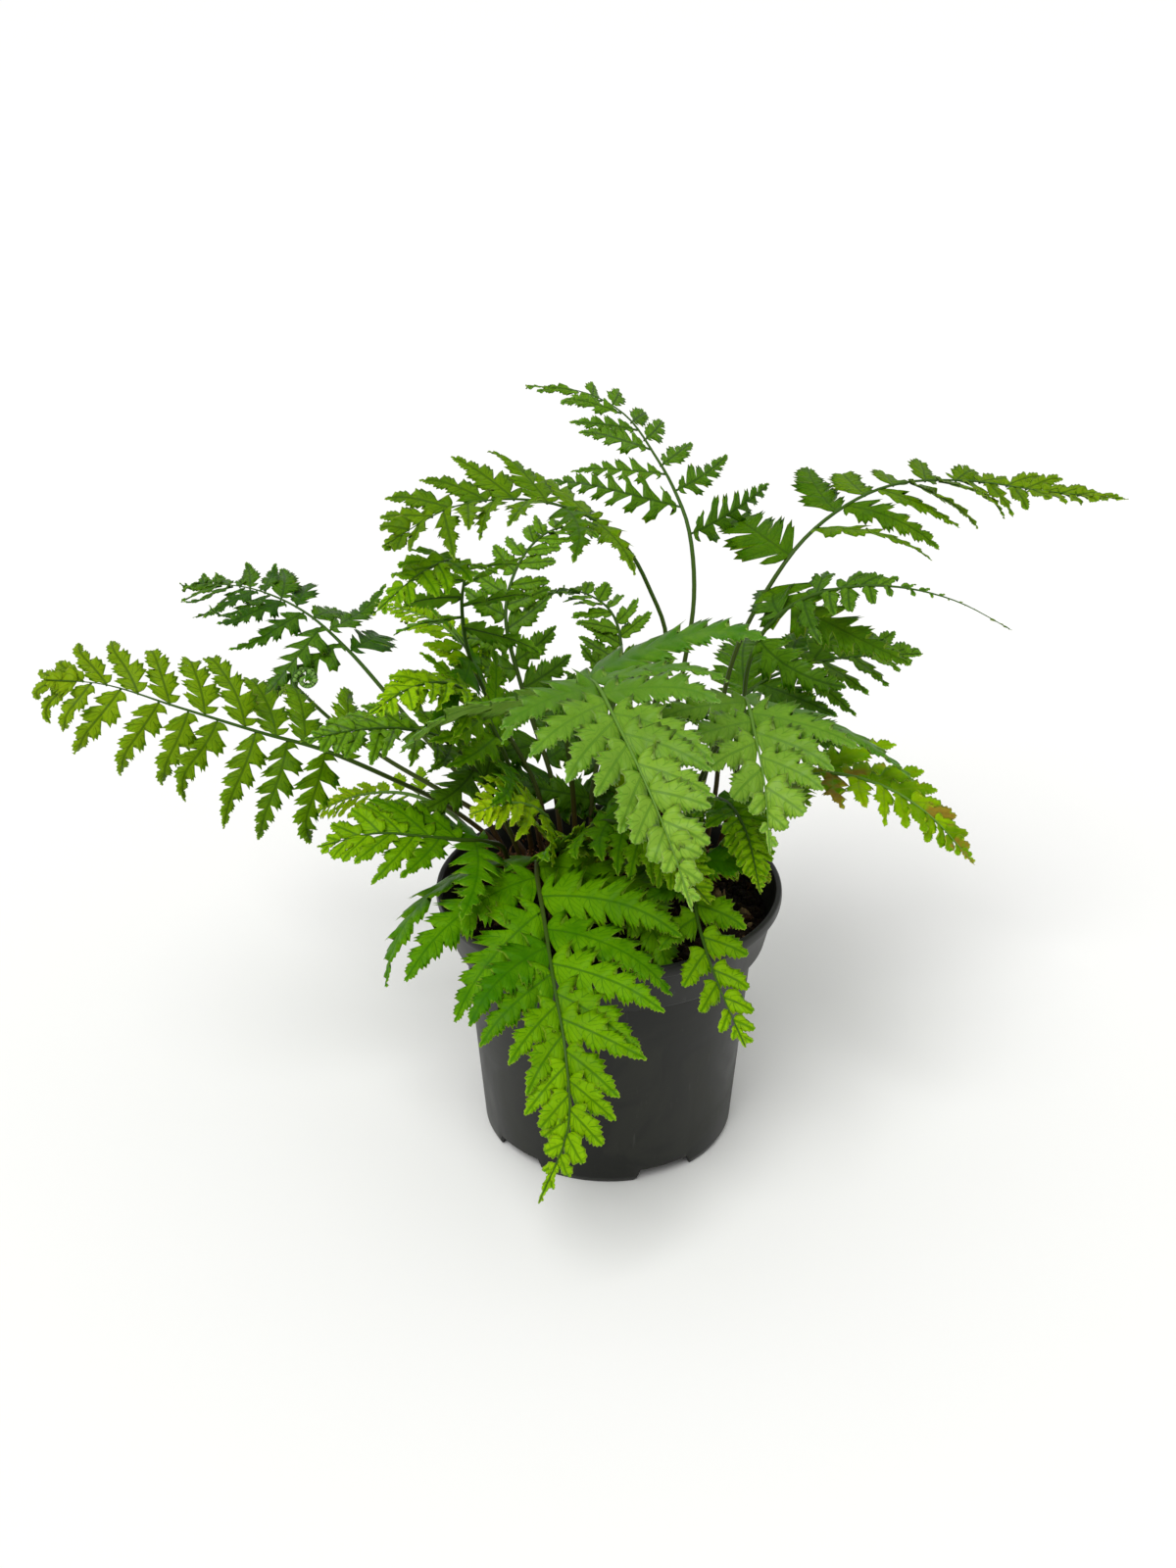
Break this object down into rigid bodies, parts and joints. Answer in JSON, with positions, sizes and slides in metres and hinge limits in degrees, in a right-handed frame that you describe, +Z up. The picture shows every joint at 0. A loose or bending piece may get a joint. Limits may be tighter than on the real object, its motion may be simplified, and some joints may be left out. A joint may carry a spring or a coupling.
{
  "type": "potted leatherleaf fern",
  "caption": "Leatherleaf fern in a round black plastic nursery pot: arching triangular fronds with toothed leaflets rise from a creeping rhizome in dark potting mix.",
  "frame": {"origin": "centre of the pot's foot, on the surface that it stands on", "axes": "+Z up along the pot's axis, -Y towards the front of the plant, +X to its right, along its widest spread"},
  "size_m": [0.355, 0.2322, 0.2402],
  "materials": {
    "pot_plastic": "satin",
    "potting_mix": "matte",
    "rhizome_scales": "matte",
    "frond_bright": "satin",
    "frond_light": "satin",
    "frond_deep": "satin",
    "frond_young": "satin"
  },
  "bodies": {
    "root": {"pot": "pot_plastic", "soil": "potting_mix", "rhizome": "rhizome_scales", "frond_front_drooping": "frond_bright", "frond_left_long": "frond_bright", "frond_left_back": "frond_deep", "frond_left_low": "frond_bright", "frond_left_pale": "frond_young", "frond_front_low": "frond_bright", "frond_front_small": "frond_bright", "frond_centre_broad": "frond_light", "frond_right_broad": "frond_light", "frond_right_under": "frond_bright", "frond_right_back": "frond_deep", "frond_right_low": "frond_young", "frond_right_top": "frond_bright", "frond_right_slender": "frond_deep", "frond_top": "frond_deep", "frond_centre_top": "frond_bright", "frond_left_top": "frond_bright", "frond_left_pale_high": "frond_young", "frond_left_inner": "frond_bright", "frond_left_middle": "frond_deep", "frond_back_centre": "frond_deep", "frond_back_left": "frond_deep", "frond_centre_young": "frond_young", "frond_left_young": "frond_young", "frond_right_young": "frond_young", "frond_coiled": "frond_light"}
  },
  "joints": []
}
